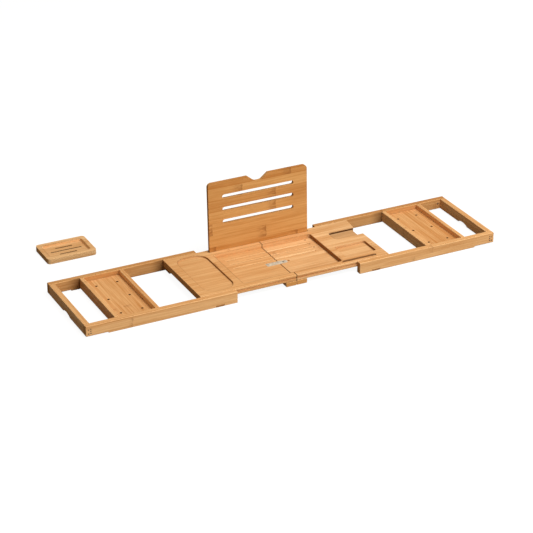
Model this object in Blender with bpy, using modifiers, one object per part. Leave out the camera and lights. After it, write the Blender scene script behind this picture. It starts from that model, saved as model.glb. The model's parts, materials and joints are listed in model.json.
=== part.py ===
"""Bamboo bath caddy: folding two-part tray, two sliding wings, book rest, soap dish.

Metres, +Z up. The origin lies on the floor under the middle of the centre seam.
X runs along the caddy, -Y is the bather's side.
"""
import math

import bmesh
import bpy
from mathutils import Matrix

# Fits shared by the whole caddy
SEAT_GAP = 0.0003
RUN_GAP = 0.0004
OVERRUN = 0.004
WELD = 0.000001
EDGE_ROUND = 0.0012
FINE_ROUND = 0.0006

# Wings, measured drawn out as far as the stops let them
CADDY_WIDTH = 0.230
RAIL_HEIGHT = 0.027
RAIL_THICK = 0.0135
RAIL_LENGTH = 0.357
RIM_STEP = 0.0025
RIM_LENGTH = 0.052
RIM_SLOPE = 0.0015
FINGER_WIDTH = 0.038
FINGER_RISE = 0.005
SLAT_SETBACK = 0.032
SLAT_WIDTH = 0.021
SLAT_THICK = 0.0045

# Soap shelf in each wing
SHELF_OUTER_SETBACK = 0.072
SHELF_WIDTH = 0.104
SHELF_BAR_THICK = 0.0095
SHELF_BAR_LIFT = 0.002
SHELF_FLOOR_DROP = 0.0115
SHELF_FLOOR_THICK = 0.005
SHELF_FLOOR_TONGUE = 0.003
SHELF_FLOOR_PLAY = 0.001
DRAIN_RADIUS = 0.0026
DRAIN_PITCH_X = 0.050
DRAIN_PITCH_Y = 0.070

# Two tray boards that meet at the seam
BOARD_LENGTH = 0.236
BOARD_THICK = 0.014
BOARD_END_ROUND = 0.0015
SEAM_GAP = 0.001
RUN_DROP = 0.0042
RUN_HEIGHT = 0.0042
RUN_DEPTH = 0.0025
TONGUE_LENGTH = 0.076
TONGUE_INSET = 0.001
BATTEN_WIDTH = 0.026
BATTEN_LIFT = 0.0019
STOP_WIDTH = 0.025
STOP_LENGTH = 0.0255
STOP_INSET = 0.004
STOP_LIFT = 0.002
STOP_CLEAR = 0.0005

# Tray recess over both boards
DECK_LENGTH = 0.112
TRAY_FRONT_RIM = 0.0161
TRAY_REAR_RIM = 0.0147
TRAY_DEPTH = 0.009
TRAY_CORNER = 0.006
FLUTE_RADIUS = 0.005
FLUTE_DEPTH = 0.0011
FLUTE_END_MARGIN = 0.0195
FLUTE_PITCH = 0.0208
FLUTE_REAR_MARGIN = 0.0245

# Oval dish recess in the left deck
BOWL_MARGIN = 0.0205
BOWL_WIDTH = 0.074
BOWL_END_MARGIN = 0.0121
BOWL_DEPTH = 0.0035
BOWL_CORNER = 0.027

# Glass notch, soap recess and telephone groove in the right deck
NOTCH_WIDTH = 0.037
NOTCH_REAR_MARGIN = 0.0451
NOTCH_LENGTH = 0.073
NOTCH_DEPTH = 0.005
NOTCH_CORNER = 0.008
NOTCH_UNDERCUT = 0.0025
NOTCH_UNDERCUT_HEIGHT = 0.0034
NOTCH_OPEN = 0.010
NOTCH_LEAD = 0.0045
NOTCH_LEAD_MARGIN = 0.004
NOTCH_LIP_ROUND = 0.006
POCKET_MARGIN = 0.016
POCKET_WIDTH = 0.079
POCKET_LENGTH = 0.056
POCKET_FRONT_MARGIN = 0.0301
POCKET_DEPTH = 0.0055
POCKET_CORNER = 0.005
GROOVE_WIDTH = 0.0075
GROOVE_FRONT_MARGIN = 0.00885
GROOVE_DEPTH = 0.006
GROOVE_END_MARGIN = 0.0265

# Book rest standing in its slot
PANEL_WIDTH = 0.251
PANEL_HEIGHT = 0.175
PANEL_THICK = 0.0076
PANEL_LEAN_DEGREES = 2.0
PANEL_CORNER = 0.009
PANEL_REAR_RIM = 0.0139
SLOT_DEPTH = 0.008
CUT_LENGTH = 0.181
CUT_HEIGHT = 0.0095
CUT_PITCH = 0.0305
CUT_TOP = 0.037
FINGER_TOP_HALF = 0.0258
FINGER_BOTTOM_HALF = 0.0075
FINGER_DEPTH = 0.0145
FINGER_ROUND = 0.011

# Locking bar across the seam
BAR_LENGTH = 0.052
BAR_WIDTH = 0.0145
BAR_THICK = 0.002
BAR_DROP = 0.0005
BAR_PIVOT = 0.030
BAR_Y = -0.012
TRUNNION_RADIUS = 0.0008
TRUNNION_LENGTH = 0.003
POCKET_RADIUS = 0.0048

# Butt hinges under the seam
HINGE_MARGIN = 0.0241
LEAF_LENGTH = 0.030
LEAF_WIDTH = 0.015
LEAF_THICK = 0.0012
LEAF_SINK = 0.0002
KNUCKLE_RADIUS = 0.0017
PIN_RADIUS = 0.0006

# Loose soap dish, standing on the floor behind the left wing
DISH_WIDTH = 0.120
DISH_DEPTH = 0.085
DISH_HEIGHT = 0.0125
DISH_CORNER = 0.008
DISH_RIM = 0.011
DISH_SINK = 0.0055
DISH_HOLLOW_CORNER = 0.006
DISH_SLOT_WIDTH = 0.0042
DISH_SLOT_LONG = 0.076
DISH_SLOT_SHORT = 0.042
DISH_SLOT_PITCH = 0.0158
DISH_X = -0.398
DISH_Y = 0.288

# Places that follow from the sizes
SIDE = CADDY_WIDTH / 2
INNER_SIDE = SIDE - RAIL_THICK
BOARD_SIDE = INNER_SIDE - RUN_GAP
RUN_TOP = RAIL_HEIGHT - RUN_DROP
RUN_LOW = RUN_TOP - RUN_HEIGHT
RUN_SIDE = BOARD_SIDE - RUN_DEPTH
BOARD_LOW = RAIL_HEIGHT - BOARD_THICK
SEAM_FACE = SEAM_GAP / 2
STOP_END = BOARD_LENGTH - STOP_INSET
STOP_START = STOP_END - STOP_LENGTH
SLAT_END = STOP_START - STOP_CLEAR
SLAT_START = SLAT_END - SLAT_WIDTH
RAIL_START = SLAT_START - SLAT_SETBACK
HALF_LENGTH = RAIL_START + RAIL_LENGTH
SHELF_OUTER = HALF_LENGTH - SHELF_OUTER_SETBACK
SHELF_INNER = SHELF_OUTER - SHELF_WIDTH
PANEL_FRONT = BOARD_SIDE - PANEL_REAR_RIM
TRAY_HALF = BOARD_LENGTH - DECK_LENGTH
TRAY_FRONT = BOARD_SIDE - TRAY_FRONT_RIM
TRAY_REAR = PANEL_FRONT - TRAY_REAR_RIM
TRAY_FLOOR = RAIL_HEIGHT - TRAY_DEPTH
HINGE_PLACE = BOARD_SIDE - HINGE_MARGIN - LEAF_LENGTH / 2
HINGE_AXIS_Z = BATTEN_LIFT
BAR_TOP = TRAY_FLOOR - BAR_DROP
BAR_AXIS_Z = BAR_TOP - BAR_THICK / 2
LEAN = math.radians(PANEL_LEAN_DEGREES)

BAMBOO = (0.60, 0.36, 0.15)
STEEL = (0.62, 0.60, 0.56)


def clear_scene():
    """Removes what a new file starts with."""
    for thing in list(bpy.data.objects):
        bpy.data.objects.remove(thing, do_unlink=True)


def make_collection(name):
    """A collection linked to the scene."""
    group = bpy.data.collections.new(name)
    bpy.context.scene.collection.children.link(group)
    return group


def make_material(name, colour, roughness, metallic):
    """A plain Principled material in one colour."""
    material = bpy.data.materials.new(name)
    material.use_nodes = True
    shader = material.node_tree.nodes["Principled BSDF"]
    shader.inputs["Base Color"].default_value = (*colour, 1.0)
    shader.inputs["Roughness"].default_value = roughness
    shader.inputs["Metallic"].default_value = metallic
    material.diffuse_color = (*colour, 1.0)
    return material


def wood(name, shade=1.0):
    """The bamboo of one piece, a little lighter or darker than the next."""
    return make_material(name + "_bamboo", [part * shade for part in BAMBOO], 0.45, 0.0)


def metal(name):
    """The steel of one fitting."""
    return make_material(name + "_steel", STEEL, 0.3, 1.0)


def make_empty(name, place, parent=None):
    """An empty on a joint's axis; place is in world coordinates."""
    empty = bpy.data.objects.new(name, None)
    empty.empty_display_size = RAIL_HEIGHT
    PARTS.objects.link(empty)
    empty.location = place
    if parent:
        empty.parent = parent
        empty.matrix_parent_inverse = Matrix.Translation([-value for value in world_place(parent)])
    return empty


def world_place(thing):
    """Where an unturned object's origin stands in the world."""
    place = list(thing.location)
    if thing.parent:
        offset = thing.matrix_parent_inverse.translation
        base = world_place(thing.parent)
        place = [place[i] + offset[i] + base[i] for i in range(3)]
    return place


def keep(thing, name, material, parent=None):
    """Puts a finished piece in the caddy under its own name and material."""
    thing.name = name
    thing.data.name = name
    thing.data.materials.clear()
    thing.data.materials.append(material)
    PARTS.objects.link(thing)
    if parent:
        thing.parent = parent
        thing.matrix_parent_inverse = Matrix.Translation([-value for value in world_place(parent)])
    return thing


def as_tool(thing, name):
    """Puts a cutter or a shape to be joined in the cutters' collection."""
    thing.name = name
    thing.hide_render = True
    thing.display_type = "WIRE"
    CUTTERS.objects.link(thing)
    return thing


def unlink_all(thing):
    """Takes a new object out of every collection."""
    for group in list(thing.users_collection):
        group.objects.unlink(thing)
    return thing


def box(low, high):
    """A box between two corners, with its origin at its centre."""
    centre = [(low[i] + high[i]) / 2 for i in range(3)]
    size = [high[i] - low[i] for i in range(3)]
    bpy.ops.mesh.primitive_cube_add(size=1, location=centre)
    thing = unlink_all(bpy.context.active_object)
    thing.data.transform(Matrix.Diagonal((*size, 1)))
    return thing


def rod(radius, start, end, axis, sides=24):
    """A round bar along Y or Z, or along X, from start to end."""
    centre = [(start[i] + end[i]) / 2 for i in range(3)]
    length = sum(abs(end[i] - start[i]) for i in range(3))
    bpy.ops.mesh.primitive_cylinder_add(vertices=sides, radius=radius, depth=length, location=centre)
    thing = unlink_all(bpy.context.active_object)
    turn = {"X": Matrix.Rotation(math.pi / 2, 4, "Y"), "Y": Matrix.Rotation(math.pi / 2, 4, "X")}
    if axis in turn:
        thing.data.transform(turn[axis])
    thing.data.shade_smooth()
    thing.data.set_sharp_from_angle(angle=math.pi / 4)
    return thing


PLATE_TURNS = {
    "X": (math.pi / 2, 0, math.pi / 2),
    "Y": (math.pi / 2, 0, 0),
    "Z": (0, 0, 0),
}


def plate(outline, low, high, axis):
    """A flat outline given thickness along X, Y or Z, from low to high.

    The outline's points are (Y, Z) for X, (X, Z) for Y and (X, Y) for Z.
    """
    curve = bpy.data.curves.new("outline", "CURVE")
    curve.dimensions = "2D"
    curve.fill_mode = "BOTH"
    curve.extrude = (high - low) / 2
    spline = curve.splines.new("POLY")
    spline.points.add(len(outline) - 1)
    for point, place in zip(spline.points, outline):
        point.co = (place[0], place[1], 0, 1)
    spline.use_cyclic_u = True
    drawn = bpy.data.objects.new("outline", curve)
    bpy.context.scene.collection.objects.link(drawn)
    drawn.rotation_euler = PLATE_TURNS[axis]
    middle = (high + low) / 2
    drawn.location = [middle if axis == letter else 0 for letter in "XYZ"]
    bpy.context.view_layer.update()
    graph = bpy.context.evaluated_depsgraph_get()
    mesh = bpy.data.meshes.new_from_object(drawn.evaluated_get(graph))
    mesh.transform(drawn.matrix_world)
    bpy.data.objects.remove(drawn, do_unlink=True)
    shape = bmesh.new()
    shape.from_mesh(mesh)
    bmesh.ops.remove_doubles(shape, verts=shape.verts, dist=WELD)
    bmesh.ops.recalc_face_normals(shape, faces=shape.faces)
    shape.to_mesh(mesh)
    shape.free()
    centre = mesh_centre(mesh)
    mesh.transform(Matrix.Translation([-value for value in centre]))
    thing = bpy.data.objects.new("plate", mesh)
    thing.location = centre
    return thing


def mesh_centre(mesh):
    """The middle of a mesh's box."""
    middle = []
    for i in range(3):
        values = [vertex.co[i] for vertex in mesh.vertices]
        middle.append((min(values) + max(values)) / 2)
    return middle


def rounded(corners, steps=6):
    """An outline whose corners, given as (u, v, radius), are filleted."""
    outline = []
    count = len(corners)
    for index, (u, v, radius) in enumerate(corners):
        before = corners[index - 1]
        after = corners[(index + 1) % count]
        if radius <= 0:
            outline.append((u, v))
            continue
        back = (before[0] - u, before[1] - v)
        ahead = (after[0] - u, after[1] - v)
        back_length = math.hypot(*back)
        ahead_length = math.hypot(*ahead)
        back = (back[0] / back_length, back[1] / back_length)
        ahead = (ahead[0] / ahead_length, ahead[1] / ahead_length)
        half = math.acos(max(-1, min(1, back[0] * ahead[0] + back[1] * ahead[1]))) / 2
        run = min(radius / math.tan(half), back_length / 2, ahead_length / 2)
        radius = run * math.tan(half)
        bisector = (back[0] + ahead[0], back[1] + ahead[1])
        reach = radius / math.sin(half) / math.hypot(*bisector)
        centre = (u + bisector[0] * reach, v + bisector[1] * reach)
        first = math.atan2(v + back[1] * run - centre[1], u + back[0] * run - centre[0])
        last = math.atan2(v + ahead[1] * run - centre[1], u + ahead[0] * run - centre[0])
        sweep = (last - first + math.pi) % (2 * math.pi) - math.pi
        for step in range(steps + 1):
            angle = first + sweep * step / steps
            outline.append((centre[0] + radius * math.cos(angle), centre[1] + radius * math.sin(angle)))
    return outline


def rectangle(u0, v0, u1, v1, radius, steps=6):
    """A rectangle's outline with equal round corners."""
    corners = [(u0, v0, radius), (u1, v0, radius), (u1, v1, radius), (u0, v1, radius)]
    return rounded(corners, steps)


def soften(thing, width=EDGE_ROUND, segments=2):
    """Rounds a piece's edges before it is cut."""
    bevel = thing.modifiers.new("edges", "BEVEL")
    bevel.width = width
    bevel.segments = segments
    bevel.limit_method = "ANGLE"
    bevel.angle_limit = math.pi / 4
    return thing


def combine(thing, tool, operation="DIFFERENCE"):
    """Cuts one shape from another, or joins them."""
    boolean = thing.modifiers.new(operation.lower(), "BOOLEAN")
    boolean.operation = operation
    boolean.solver = "EXACT"
    boolean.object = tool
    return thing


def mirrored(side, low, high):
    """A range along X on the given side, lower end first."""
    return sorted((side * low, side * high))


def side_box(side, low, high):
    """A box whose X range is given for the right side of the caddy."""
    x0, x1 = mirrored(side, low[0], high[0])
    return box((x0, low[1], low[2]), (x1, high[1], high[2]))


def board_outline():
    """The section of a tray board, flat on top and rounded along its long sides."""
    return rectangle(-BOARD_SIDE, BOARD_LOW, BOARD_SIDE, RAIL_HEIGHT, BOARD_END_ROUND, 4)


def run_cutters(side):
    """The grooves along a board's long sides that the rails' tongues run in."""
    cutters = []
    for front in (-1, 1):
        low_y, high_y = sorted((front * RUN_SIDE, front * (BOARD_SIDE + OVERRUN)))
        low = (SEAM_FACE - OVERRUN, low_y, RUN_LOW)
        high = (BOARD_LENGTH + OVERRUN, high_y, RUN_TOP)
        tag = "%s_%s" % ("left" if side < 0 else "right", "front" if front < 0 else "rear")
        cutters.append(as_tool(side_box(side, low, high), "cut_run_" + tag))
    return cutters


def tray_cutter():
    """The sunk floor that both boards share."""
    outline = rectangle(-TRAY_HALF, -TRAY_FRONT, TRAY_HALF, TRAY_REAR, TRAY_CORNER, 8)
    return as_tool(plate(outline, TRAY_FLOOR, RAIL_HEIGHT + OVERRUN, "Z"), "cut_tray")


def flute_cutters():
    """Round-bottomed flutes that hold a book's or a tablet's lower edge."""
    cutters = []
    for index in range(3):
        y = TRAY_REAR - FLUTE_REAR_MARGIN - index * FLUTE_PITCH
        z = TRAY_FLOOR + FLUTE_RADIUS - FLUTE_DEPTH
        reach = TRAY_HALF - FLUTE_END_MARGIN
        flute = rod(FLUTE_RADIUS, (-reach, y, z), (reach, y, z), "X", 32)
        cutters.append(as_tool(flute, "cut_flute_%d" % (index + 1)))
    return cutters


def panel_foot():
    """Y and Z of the middle of the book rest's lower edge, in its slot."""
    y = PANEL_FRONT + PANEL_THICK / 2 * math.cos(LEAN)
    z = RAIL_HEIGHT - SLOT_DEPTH + SEAT_GAP + PANEL_THICK / 2 * math.sin(LEAN)
    return y, z


def slot_cutter():
    """The upright slot that the book rest stands in, with the play that lets it lean."""
    lean_play = SLOT_DEPTH * math.tan(LEAN)
    half = PANEL_WIDTH / 2 + SEAT_GAP + STOP_CLEAR
    front = PANEL_FRONT - SEAT_GAP
    rear = PANEL_FRONT + PANEL_THICK / math.cos(LEAN) + lean_play + SEAT_GAP
    low = (-half, front, RAIL_HEIGHT - SLOT_DEPTH)
    return as_tool(box(low, (half, rear, RAIL_HEIGHT + OVERRUN)), "cut_slot")


def bar_cutters():
    """The locking bar's bed, its trunnion hole and the finger pocket at its tip."""
    gap = RUN_GAP
    floor = BAR_TOP - BAR_THICK - gap
    tip = BAR_LENGTH - BAR_PIVOT + gap
    heel = -BAR_PIVOT - BAR_THICK / 2 - gap
    half = BAR_WIDTH / 2 + gap
    corners = [
        (heel, BAR_Y - half, 0),
        (tip, BAR_Y - half, half),
        (tip, BAR_Y + half, half),
        (heel, BAR_Y + half, 0),
    ]
    bed = as_tool(plate(rounded(corners, 8), floor, RAIL_HEIGHT, "Z"), "cut_bar_bed")
    reach = half + TRUNNION_LENGTH
    start = (-BAR_PIVOT, BAR_Y - reach, BAR_AXIS_Z)
    end = (-BAR_PIVOT, BAR_Y + reach, BAR_AXIS_Z)
    hole = as_tool(rod(TRUNNION_RADIUS + SEAT_GAP, start, end, "Y", 16), "cut_trunnion")
    low = (tip, BAR_Y, floor)
    pocket = as_tool(rod(POCKET_RADIUS, low, (tip, BAR_Y, RAIL_HEIGHT), "Z", 24), "cut_bar_pocket")
    return bed, hole, pocket


def deck_board(side, name, shade, cutters, parent):
    """One tray board with everything that is cut in its upper face."""
    x0, x1 = mirrored(side, SEAM_FACE, BOARD_LENGTH)
    board = plate(board_outline(), x0, x1, "X")
    soften(board, FINE_ROUND, 1)
    for cutter in [*run_cutters(side), *cutters]:
        combine(board, cutter)
    return keep(board, name, wood(name, shade), parent)


def bowl_cutter():
    """The oval recess in the left deck."""
    outer = -BOARD_LENGTH + BOWL_MARGIN
    half = BOARD_SIDE - BOWL_END_MARGIN
    outline = rectangle(outer, -half, outer + BOWL_WIDTH, half, BOWL_CORNER, 10)
    return as_tool(plate(outline, RAIL_HEIGHT - BOWL_DEPTH, RAIL_HEIGHT + OVERRUN, "Z"), "cut_bowl")


def glass_cutters():
    """The glass notch: a bay undercut for a glass's foot, and the open mouth with a lead-in."""
    near = BOARD_LENGTH - NOTCH_LENGTH
    high = BOARD_SIDE - NOTCH_REAR_MARGIN
    low = high - NOTCH_WIDTH
    far = BOARD_LENGTH + OVERRUN
    bend = NOTCH_CORNER
    corners = [(near, low, bend), (far, low, 0), (far, high, 0), (near, high, bend)]
    floor = RAIL_HEIGHT - NOTCH_DEPTH
    middle = floor + NOTCH_UNDERCUT_HEIGHT / 2
    bay = as_tool(plate(rounded(corners, 8), middle, RAIL_HEIGHT + OVERRUN, "Z"), "cut_glass_bay")
    grown = NOTCH_UNDERCUT
    bend += grown
    corners = [
        (near - grown, low - grown, bend),
        (far, low - grown, 0),
        (far, high + grown, 0),
        (near - grown, high + grown, bend),
    ]
    roof = floor + NOTCH_UNDERCUT_HEIGHT
    under = as_tool(plate(rounded(corners, 8), floor, roof, "Z"), "cut_glass_undercut")
    inner = BOARD_LENGTH - NOTCH_OPEN
    lead_run = BOARD_SIDE - NOTCH_LEAD_MARGIN - high
    side = high + lead_run * (NOTCH_LEAD + OVERRUN) / NOTCH_LEAD
    corners = [
        (inner, low, 0),
        (far, low, 0),
        (far, side, 0),
        (BOARD_LENGTH - NOTCH_LEAD, high, NOTCH_LIP_ROUND),
        (inner, high, 0),
    ]
    plan = rounded(corners, 8)
    mouth = plate(plan, BOARD_LOW - OVERRUN, RAIL_HEIGHT + OVERRUN, "Z")
    return under, bay, as_tool(mouth, "cut_glass_mouth")


def pocket_cutter():
    """The small rectangular recess in the right deck."""
    outer = BOARD_LENGTH - POCKET_MARGIN
    low = -BOARD_SIDE + POCKET_FRONT_MARGIN
    high = low + POCKET_LENGTH
    outline = rectangle(outer - POCKET_WIDTH, low, outer, high, POCKET_CORNER)
    floor = RAIL_HEIGHT - POCKET_DEPTH
    return as_tool(plate(outline, floor, RAIL_HEIGHT + OVERRUN, "Z"), "cut_pocket")


def groove_cutter():
    """The telephone groove along the front of the right deck, open to the tray."""
    near = TRAY_HALF - OVERRUN
    far = BOARD_LENGTH - GROOVE_END_MARGIN
    low = -BOARD_SIDE + GROOVE_FRONT_MARGIN
    high = low + GROOVE_WIDTH
    bend = GROOVE_WIDTH / 2
    corners = [(near, low, 0), (far, low, bend), (far, high, bend), (near, high, 0)]
    floor = RAIL_HEIGHT - GROOVE_DEPTH
    return as_tool(plate(rounded(corners, 6), floor, RAIL_HEIGHT + OVERRUN, "Z"), "cut_groove")


def seam_batten(side, name, shade, tools, parent):
    """The cross batten under the seam end of a board; it carries the hinge leaves."""
    low = (SEAM_FACE, -BOARD_SIDE, BATTEN_LIFT)
    batten = side_box(side, low, (BATTEN_WIDTH, BOARD_SIDE, BOARD_LOW - SEAT_GAP))
    soften(batten, FINE_ROUND, 1)
    for tool in tools:
        combine(batten, tool)
    return keep(batten, name, wood(name, shade), parent)


def hinge_tools(side, y):
    """The bed of a hinge leaf and the room round the knuckles, cut in a batten."""
    half = LEAF_LENGTH / 2 + SEAT_GAP
    low = (-OVERRUN, y - half, BATTEN_LIFT - OVERRUN)
    top = BATTEN_LIFT + LEAF_SINK + LEAF_THICK + SEAT_GAP
    high = (KNUCKLE_RADIUS + LEAF_WIDTH + 2 * SEAT_GAP, y + half, top)
    tag = "%s_%s" % ("left" if side < 0 else "right", "front" if y < 0 else "rear")
    bed = as_tool(side_box(side, low, high), "cut_leaf_" + tag)
    start = (0, y - half, HINGE_AXIS_Z)
    room = rod(KNUCKLE_RADIUS + RUN_GAP, start, (0, y + half, HINGE_AXIS_Z), "Y", 24)
    return bed, as_tool(room, "cut_knuckle_" + tag)


def hinge_leaf(side, y, name, parent):
    """A hinge leaf with its knuckles: two on the left leaf, one on the right."""
    near = KNUCKLE_RADIUS + SEAT_GAP
    half = LEAF_LENGTH / 2
    share = LEAF_LENGTH / 3
    edge = share / 2 - SEAT_GAP / 2
    places = (-share, share) if side < 0 else (0,)
    outline = [(side * (near + LEAF_WIDTH), y - half), (side * near, y - half)]
    for place in places:
        if place - edge > -half + SEAT_GAP:
            outline.append((side * near, y + place - edge))
        outline.append((0, y + place - edge))
        outline.append((0, y + place + edge))
        outline.append((side * near, y + place + edge))
    outline += [(side * near, y + half), (side * (near + LEAF_WIDTH), y + half)]
    low = BATTEN_LIFT + LEAF_SINK
    leaf = plate(outline, low, low + LEAF_THICK, "Z")
    for index, place in enumerate(places):
        start = (0, y + place - edge, HINGE_AXIS_Z)
        eye = rod(KNUCKLE_RADIUS, start, (0, y + place + edge, HINGE_AXIS_Z), "Y", 20)
        combine(leaf, as_tool(eye, "join_eye_%s_%d" % (name, index)), "UNION")
    reach = half + OVERRUN
    bore_radius = PIN_RADIUS + SEAT_GAP
    bore = rod(bore_radius, (0, y - reach, HINGE_AXIS_Z), (0, y + reach, HINGE_AXIS_Z), "Y", 16)
    combine(leaf, as_tool(bore, "cut_bore_" + name))
    return keep(leaf, name, metal(name), parent)


def hinge_pin(y, name, parent):
    """The pin through a hinge's knuckles."""
    half = LEAF_LENGTH / 2
    pin = rod(PIN_RADIUS, (0, y - half, HINGE_AXIS_Z), (0, y + half, HINGE_AXIS_Z), "Y", 16)
    return keep(pin, name, metal(name), parent)


def stop_block(side, front, name, shade, parent):
    """A block under a deck's outer corner that the wing's cross slat meets."""
    y0, y1 = sorted((front * (BOARD_SIDE - STOP_WIDTH), front * BOARD_SIDE))
    block = side_box(side, (STOP_START, y0, STOP_LIFT), (STOP_END, y1, BOARD_LOW - SEAT_GAP))
    soften(block, FINE_ROUND, 1)
    return keep(block, name, wood(name, shade), parent)


def side_rail(side, front, name, shade, parent):
    """A wing's long rail: stepped underside at the tub's rim, tongue for the board's groove."""
    step = HALF_LENGTH - RIM_LENGTH
    outline = [
        (side * RAIL_START, 0),
        (side * step, 0),
        (side * (step + RIM_SLOPE), RIM_STEP),
        (side * HALF_LENGTH, RIM_STEP),
        (side * HALF_LENGTH, RAIL_HEIGHT),
        (side * RAIL_START, RAIL_HEIGHT),
    ]
    y0, y1 = sorted((front * INNER_SIDE, front * SIDE))
    rail = plate(outline, y0, y1, "Y")
    soften(rail)
    tag = "%s_%s" % ("left" if side < 0 else "right", "front" if front < 0 else "rear")
    low_y, high_y = sorted((front * (INNER_SIDE + OVERRUN), front * (RUN_SIDE + RUN_GAP)))
    start = RAIL_START + TONGUE_INSET
    low = (start, low_y, RUN_LOW + RUN_GAP)
    high = (start + TONGUE_LENGTH, high_y, RUN_TOP - RUN_GAP)
    combine(rail, as_tool(side_box(side, low, high), "join_tongue_" + tag), "UNION")
    low = (SLAT_START - SEAT_GAP, y0 - OVERRUN, -OVERRUN)
    high = (SLAT_END + SEAT_GAP, y1 + OVERRUN, SLAT_THICK + SEAT_GAP)
    combine(rail, as_tool(side_box(side, low, high), "cut_slat_" + tag))
    return keep(rail, name, wood(name, shade), parent)


def end_rail(side, name, shade, parent):
    """A wing's outer rail, with the finger arch in its lower edge."""
    half = INNER_SIDE - SEAT_GAP
    arch_half = FINGER_WIDTH / 2
    arch = [(-arch_half, RIM_STEP)]
    for step in range(1, 12):
        share = step / 12
        rise = FINGER_RISE * math.sin(math.pi * share) ** 0.5
        arch.append((-arch_half + FINGER_WIDTH * share, RIM_STEP + rise))
    arch.append((arch_half, RIM_STEP))
    outline = [(-half, RAIL_HEIGHT), (-half, RIM_STEP)] + arch + [(half, RIM_STEP), (half, RAIL_HEIGHT)]
    x0, x1 = mirrored(side, HALF_LENGTH - RAIL_THICK, HALF_LENGTH)
    rail = plate(outline, x0, x1, "X")
    soften(rail)
    return keep(rail, name, wood(name, shade), parent)


def cross_slat(side, name, shade, parent):
    """The thin slat let into the undersides of both rails, under the board."""
    slat = side_box(side, (SLAT_START, -SIDE, 0), (SLAT_END, SIDE, SLAT_THICK))
    soften(slat, FINE_ROUND, 1)
    return keep(slat, name, wood(name, shade), parent)


def shelf_levels():
    """Lower and upper face of the soap shelf's floor."""
    top = RAIL_HEIGHT - SHELF_FLOOR_DROP
    return top - SHELF_FLOOR_THICK, top


def shelf_bar(side, near, inward, name, shade, parent):
    """A cross bar of the soap shelf, grooved for the floor's edge."""
    half = INNER_SIDE - SEAT_GAP
    far = near + SHELF_BAR_THICK
    bar = side_box(side, (near, -half, SHELF_BAR_LIFT), (far, half, RAIL_HEIGHT))
    soften(bar)
    low_z, high_z = shelf_levels()
    depth = SHELF_FLOOR_TONGUE + SEAT_GAP
    if inward > 0:
        x0, x1 = far - depth, far + OVERRUN
    else:
        x0, x1 = near - OVERRUN, near + depth
    low = (x0, -half - OVERRUN, low_z - SEAT_GAP)
    groove = side_box(side, low, (x1, half + OVERRUN, high_z + SEAT_GAP))
    combine(bar, as_tool(groove, "cut_" + name))
    return keep(bar, name, wood(name, shade), parent)


def shelf_floor(side, name, shade, parent):
    """The soap shelf's floor with its six drain holes."""
    low_z, high_z = shelf_levels()
    half = INNER_SIDE - SHELF_FLOOR_PLAY
    near = SHELF_INNER + SHELF_BAR_THICK - SHELF_FLOOR_TONGUE
    far = SHELF_OUTER - SHELF_BAR_THICK + SHELF_FLOOR_TONGUE
    floor = side_box(side, (near, -half, low_z), (far, half, high_z))
    middle = side * (near + far) / 2
    tag = "left" if side < 0 else "right"
    for column in (-1, 1):
        for row in (-1, 0, 1):
            x = middle + column * DRAIN_PITCH_X / 2
            y = row * DRAIN_PITCH_Y
            start = (x, y, low_z - OVERRUN)
            hole = rod(DRAIN_RADIUS, start, (x, y, high_z + OVERRUN), "Z", 14)
            combine(floor, as_tool(hole, "cut_drain_%s_%d_%d" % (tag, column + 1, row + 1)))
    return keep(floor, name, wood(name, shade), parent)


def wing(side, parent):
    """One sliding wing."""
    tag = "left" if side < 0 else "right"
    slide = make_empty(tag + "_wing_slide", (side * RAIL_START, 0, 0), parent)
    side_rail(side, -1, tag + "_front_rail", 1.02, slide)
    side_rail(side, 1, tag + "_rear_rail", 0.95, slide)
    end_rail(side, tag + "_end_rail", 0.98, slide)
    cross_slat(side, tag + "_cross_slat", 0.8, slide)
    shelf_bar(side, SHELF_INNER, 1, tag + "_shelf_inner_bar", 1.04, slide)
    outer = SHELF_OUTER - SHELF_BAR_THICK
    shelf_bar(side, outer, -1, tag + "_shelf_outer_bar", 1.0, slide)
    shelf_floor(side, tag + "_shelf_floor", 1.06, slide)


def locking_bar(parent):
    """The steel bar that lies across the seam and flips up on its trunnions."""
    radius = BAR_THICK / 2
    heel = -radius
    tip = BAR_LENGTH
    side_outline = [(tip, -radius, 0), (tip, radius, 0), (heel, radius, radius), (heel, -radius, radius)]
    outline = [(x - BAR_PIVOT, z + BAR_AXIS_Z) for x, z in rounded(side_outline, 6)]
    half = BAR_WIDTH / 2
    bar = plate(outline, BAR_Y - half, BAR_Y + half, "Y")
    tip_x = tip - BAR_PIVOT
    heel_x = -BAR_PIVOT - BAR_WIDTH
    corners = [
        (heel_x, BAR_Y - half - OVERRUN, 0),
        (heel_x, BAR_Y + half + OVERRUN, 0),
        (tip_x - half, BAR_Y + half + OVERRUN, 0),
        (tip_x - half, BAR_Y + half, 0),
    ]
    arc = rounded([(tip_x, BAR_Y + half, half), (tip_x, BAR_Y - half, half), (heel_x, BAR_Y - half, 0)], 10)
    plan = [(x, y) for x, y, radius in corners] + arc[:-1]
    plan += [(tip_x - half, BAR_Y - half - OVERRUN)]
    keeper = as_tool(plate(plan, BAR_AXIS_Z - OVERRUN, BAR_AXIS_Z + OVERRUN, "Z"), "keep_bar_plan")
    combine(bar, keeper, "INTERSECT")
    reach = half + TRUNNION_LENGTH
    start = (-BAR_PIVOT, BAR_Y - reach, BAR_AXIS_Z)
    trunnion = rod(TRUNNION_RADIUS, start, (-BAR_PIVOT, BAR_Y + reach, BAR_AXIS_Z), "Y", 16)
    combine(bar, as_tool(trunnion, "join_trunnion"), "UNION")
    pivot = make_empty("locking_bar_pivot", (-BAR_PIVOT, BAR_Y, BAR_AXIS_Z), parent)
    return keep(bar, "locking_bar", metal("locking_bar"), pivot)


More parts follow.
